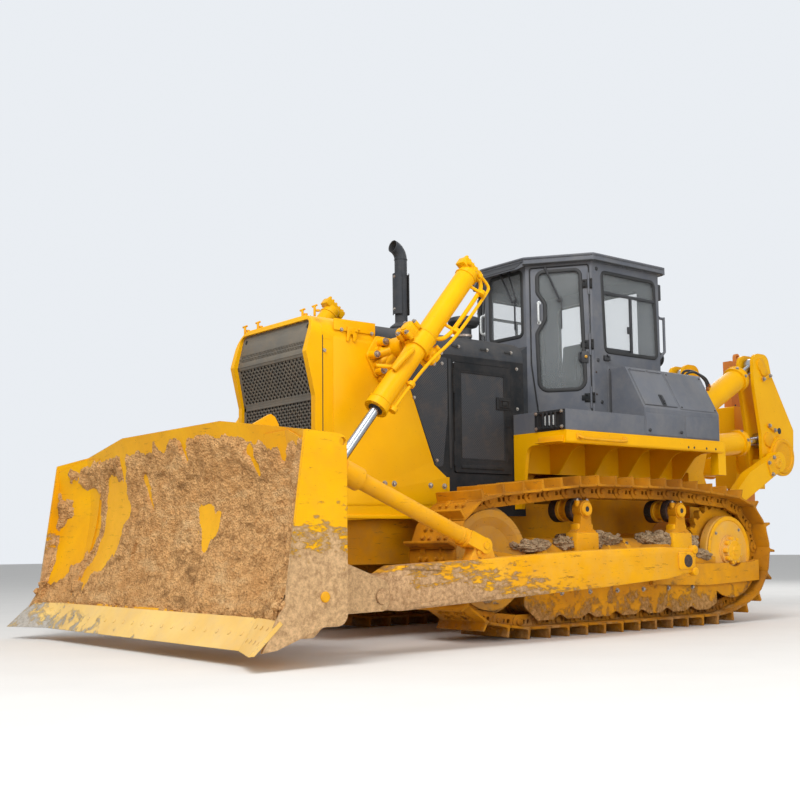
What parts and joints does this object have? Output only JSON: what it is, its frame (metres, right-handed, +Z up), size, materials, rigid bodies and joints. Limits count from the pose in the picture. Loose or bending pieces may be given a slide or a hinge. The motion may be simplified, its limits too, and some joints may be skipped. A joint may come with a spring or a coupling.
{
  "type": "track-type bulldozer with semi-U blade and single-shank ripper",
  "caption": "Track-type bulldozer with a semi-U blade, an enclosed six-sided cab and a rear single-shank ripper.",
  "frame": {"origin": "on the ground, in the machine's middle plane, midway between its foremost and rearmost points", "axes": "+X forward to the blade, +Y to the machine's left, +Z up"},
  "size_m": [8.2249, 4.04, 3.564],
  "materials": {
    "yellow_paint": "painted steel, weathered, with dried soil",
    "black_paint": "dark grey powder coat",
    "track_steel": "yellow-painted steel, worn and caked with soil",
    "chrome": "chromed rod",
    "edge_steel": "painted wear steel, scraped bare at the corners",
    "cab_glass": "clear laminated glass",
    "seat_fabric": "dark woven seat cover",
    "dark_steel": "dark steel"
  },
  "bodies": {
    "tractor": {"bulkhead": "black_paint", "cab_glass": "cab_glass", "cab_roof": "black_paint", "cab_shell": "black_paint", "carrier_rollers": "yellow_paint", "controls": "black_paint", "cross_bars": "yellow_paint", "engine_block": "dark_steel", "exhaust_stack": "black_paint", "fender_skirts": "black_paint", "fenders": "yellow_paint", "final_drives": "yellow_paint", "handrails": "black_paint", "hood_front": "yellow_paint", "hood_rear": "black_paint", "idlers": "track_steel", "lift_brackets": "yellow_paint", "main_frame": "yellow_paint", "operator_seat": "seat_fabric", "pre_cleaner": "black_paint", "radiator_core": "dark_steel", "radiator_grille": "black_paint", "radiator_guard": "yellow_paint", "rear_panels": "black_paint", "ripper_bracket": "yellow_paint", "side_panels": "yellow_paint", "sprockets": "track_steel", "toolboxes": "black_paint", "track_frame_left": "yellow_paint", "track_frame_right": "yellow_paint", "track_left": "track_steel", "track_right": "track_steel", "track_rollers": "track_steel", "work_lamps": "black_paint"},
    "blade": {"blade_moldboard": "yellow_paint", "cutting_edge": "edge_steel", "end_bits": "edge_steel", "push_arms": "yellow_paint", "blade_brace": "yellow_paint", "tilt_cylinder": "yellow_paint"},
    "lift_barrel_left": {"lift_barrel_left": "yellow_paint"},
    "lift_barrel_right": {"lift_barrel_right": "yellow_paint"},
    "lift_rod_left": {"lift_rod_left": "chrome"},
    "lift_rod_right": {"lift_rod_right": "chrome"},
    "cab_door_left": {"cab_door_left": "black_paint", "door_glass_left": "cab_glass"},
    "cab_door_right": {"cab_door_right": "black_paint", "door_glass_right": "cab_glass"},
    "engine_door_left": {"engine_door_left": "black_paint"},
    "engine_door_right": {"engine_door_right": "black_paint"},
    "toolbox_lid_left": {"toolbox_lid_left": "black_paint"},
    "toolbox_lid_right": {"toolbox_lid_right": "black_paint"},
    "ripper_arm": {"ripper_arm": "yellow_paint"},
    "ripper_pins": {"ripper_pins": "dark_steel"},
    "ripper_carrier": {"ripper_carrier": "yellow_paint", "ripper_shank": "yellow_paint"},
    "ripper_upper_barrels": {"ripper_upper_barrels": "yellow_paint"},
    "ripper_upper_rods": {"ripper_upper_rods": "chrome"},
    "ripper_lower_barrels": {"ripper_lower_barrels": "yellow_paint"},
    "ripper_lower_rods": {"ripper_lower_rods": "chrome"}
  },
  "joints": [
    {"name": "blade_lift", "type": "hinge", "parent": "tractor", "child": "blade", "pos_m": [-0.555, 0, 0.614], "axis": [0, -1, 0], "range_deg": [-7.2, 19.8]},
    {"name": "lift_swing_left", "type": "hinge", "parent": "tractor", "child": "lift_barrel_left", "pos_m": [1.91, 1, 2.41], "axis": [0, -1, 0], "range_deg": [-10.36, 28.48]},
    {"name": "lift_slide_left", "type": "slide", "parent": "lift_barrel_left", "child": "lift_rod_left", "axis": [0.6332, 0, -0.774], "range_m": [-1.0363, 0.3768]},
    {"name": "lift_swing_right", "type": "hinge", "parent": "tractor", "child": "lift_barrel_right", "pos_m": [1.91, -1, 2.41], "axis": [0, -1, 0], "range_deg": [-10.36, 28.48]},
    {"name": "lift_slide_right", "type": "slide", "parent": "lift_barrel_right", "child": "lift_rod_right", "axis": [0.6332, 0, -0.774], "range_m": [-1.0363, 0.3768]},
    {"name": "cab_door_left", "type": "hinge", "parent": "tractor", "child": "cab_door_left", "pos_m": [-0.3763, 0.77861, 2.7], "axis": [0, 0, 1], "range_deg": [0, 90]},
    {"name": "engine_door_left", "type": "hinge", "parent": "tractor", "child": "engine_door_left", "pos_m": [1.1975, 0.594, 1.89], "axis": [0, 0, -1], "range_deg": [0, 95]},
    {"name": "toolbox_lid_left", "type": "hinge", "parent": "tractor", "child": "toolbox_lid_left", "pos_m": [-0.8575, 1.04144, 2.41459], "axis": [1, 0, 0], "range_deg": [0, 75]},
    {"name": "cab_door_right", "type": "hinge", "parent": "tractor", "child": "cab_door_right", "pos_m": [-0.3763, -0.77861, 2.7], "axis": [0, 0, -1], "range_deg": [0, 90]},
    {"name": "engine_door_right", "type": "hinge", "parent": "tractor", "child": "engine_door_right", "pos_m": [1.1975, -0.594, 1.89], "axis": [0, 0, 1], "range_deg": [0, 95]},
    {"name": "toolbox_lid_right", "type": "hinge", "parent": "tractor", "child": "toolbox_lid_right", "pos_m": [-0.8575, -1.04144, 2.41459], "axis": [-1, 0, 0], "range_deg": [0, 75]},
    {"name": "ripper_lift", "type": "hinge", "parent": "tractor", "child": "ripper_arm", "pos_m": [-2.37, 0, 1], "axis": [0, -1, 0], "range_deg": [-2, 60]},
    {"name": "ripper_level", "type": "hinge", "parent": "ripper_arm", "child": "ripper_pins", "pos_m": [-3.48, 0, 1.66], "axis": [0, -1, 0], "range_deg": [-61.2, 2.04]},
    {"name": "ripper_tilt", "type": "hinge", "parent": "ripper_pins", "child": "ripper_carrier", "pos_m": [-3.48, 0, 1.66], "axis": [0, -1, 0], "range_deg": [-4, 14]},
    {"name": "ripper_upper_swing", "type": "hinge", "parent": "tractor", "child": "ripper_upper_barrels", "pos_m": [-2.17, 0, 2.066], "axis": [0, -1, 0], "range_deg": [-1.85, 55.39]},
    {"name": "ripper_upper_slide", "type": "slide", "parent": "ripper_upper_barrels", "child": "ripper_upper_rods", "axis": [-0.8728, 0, 0.4881], "range_m": [-0.07, 0.2449]},
    {"name": "ripper_lower_swing", "type": "hinge", "parent": "tractor", "child": "ripper_lower_barrels", "pos_m": [-2.27, 0, 1.775], "axis": [0, -1, 0], "range_deg": [-1.69, 50.8]},
    {"name": "ripper_lower_slide", "type": "slide", "parent": "ripper_lower_barrels", "child": "ripper_lower_rods", "axis": [-0.9931, 0, 0.1173], "range_m": [-0.016, 0.4807]}
  ],
  "couplings": [
    {"joint": "lift_swing_left", "follows": "blade_lift", "ratio": 1.41},
    {"joint": "lift_slide_left", "follows": "blade_lift", "m_per_rad": -2.94},
    {"joint": "lift_swing_right", "follows": "blade_lift", "ratio": 1.41},
    {"joint": "lift_slide_right", "follows": "blade_lift", "m_per_rad": -2.94},
    {"joint": "ripper_level", "follows": "ripper_lift", "ratio": -1},
    {"joint": "ripper_upper_swing", "follows": "ripper_lift", "ratio": 0.905},
    {"joint": "ripper_upper_slide", "follows": "ripper_tilt", "m_per_rad": 0.9825},
    {"joint": "ripper_lower_swing", "follows": "ripper_lift", "ratio": 0.83},
    {"joint": "ripper_lower_slide", "follows": "ripper_lift", "m_per_rad": 0.45}
  ]
}
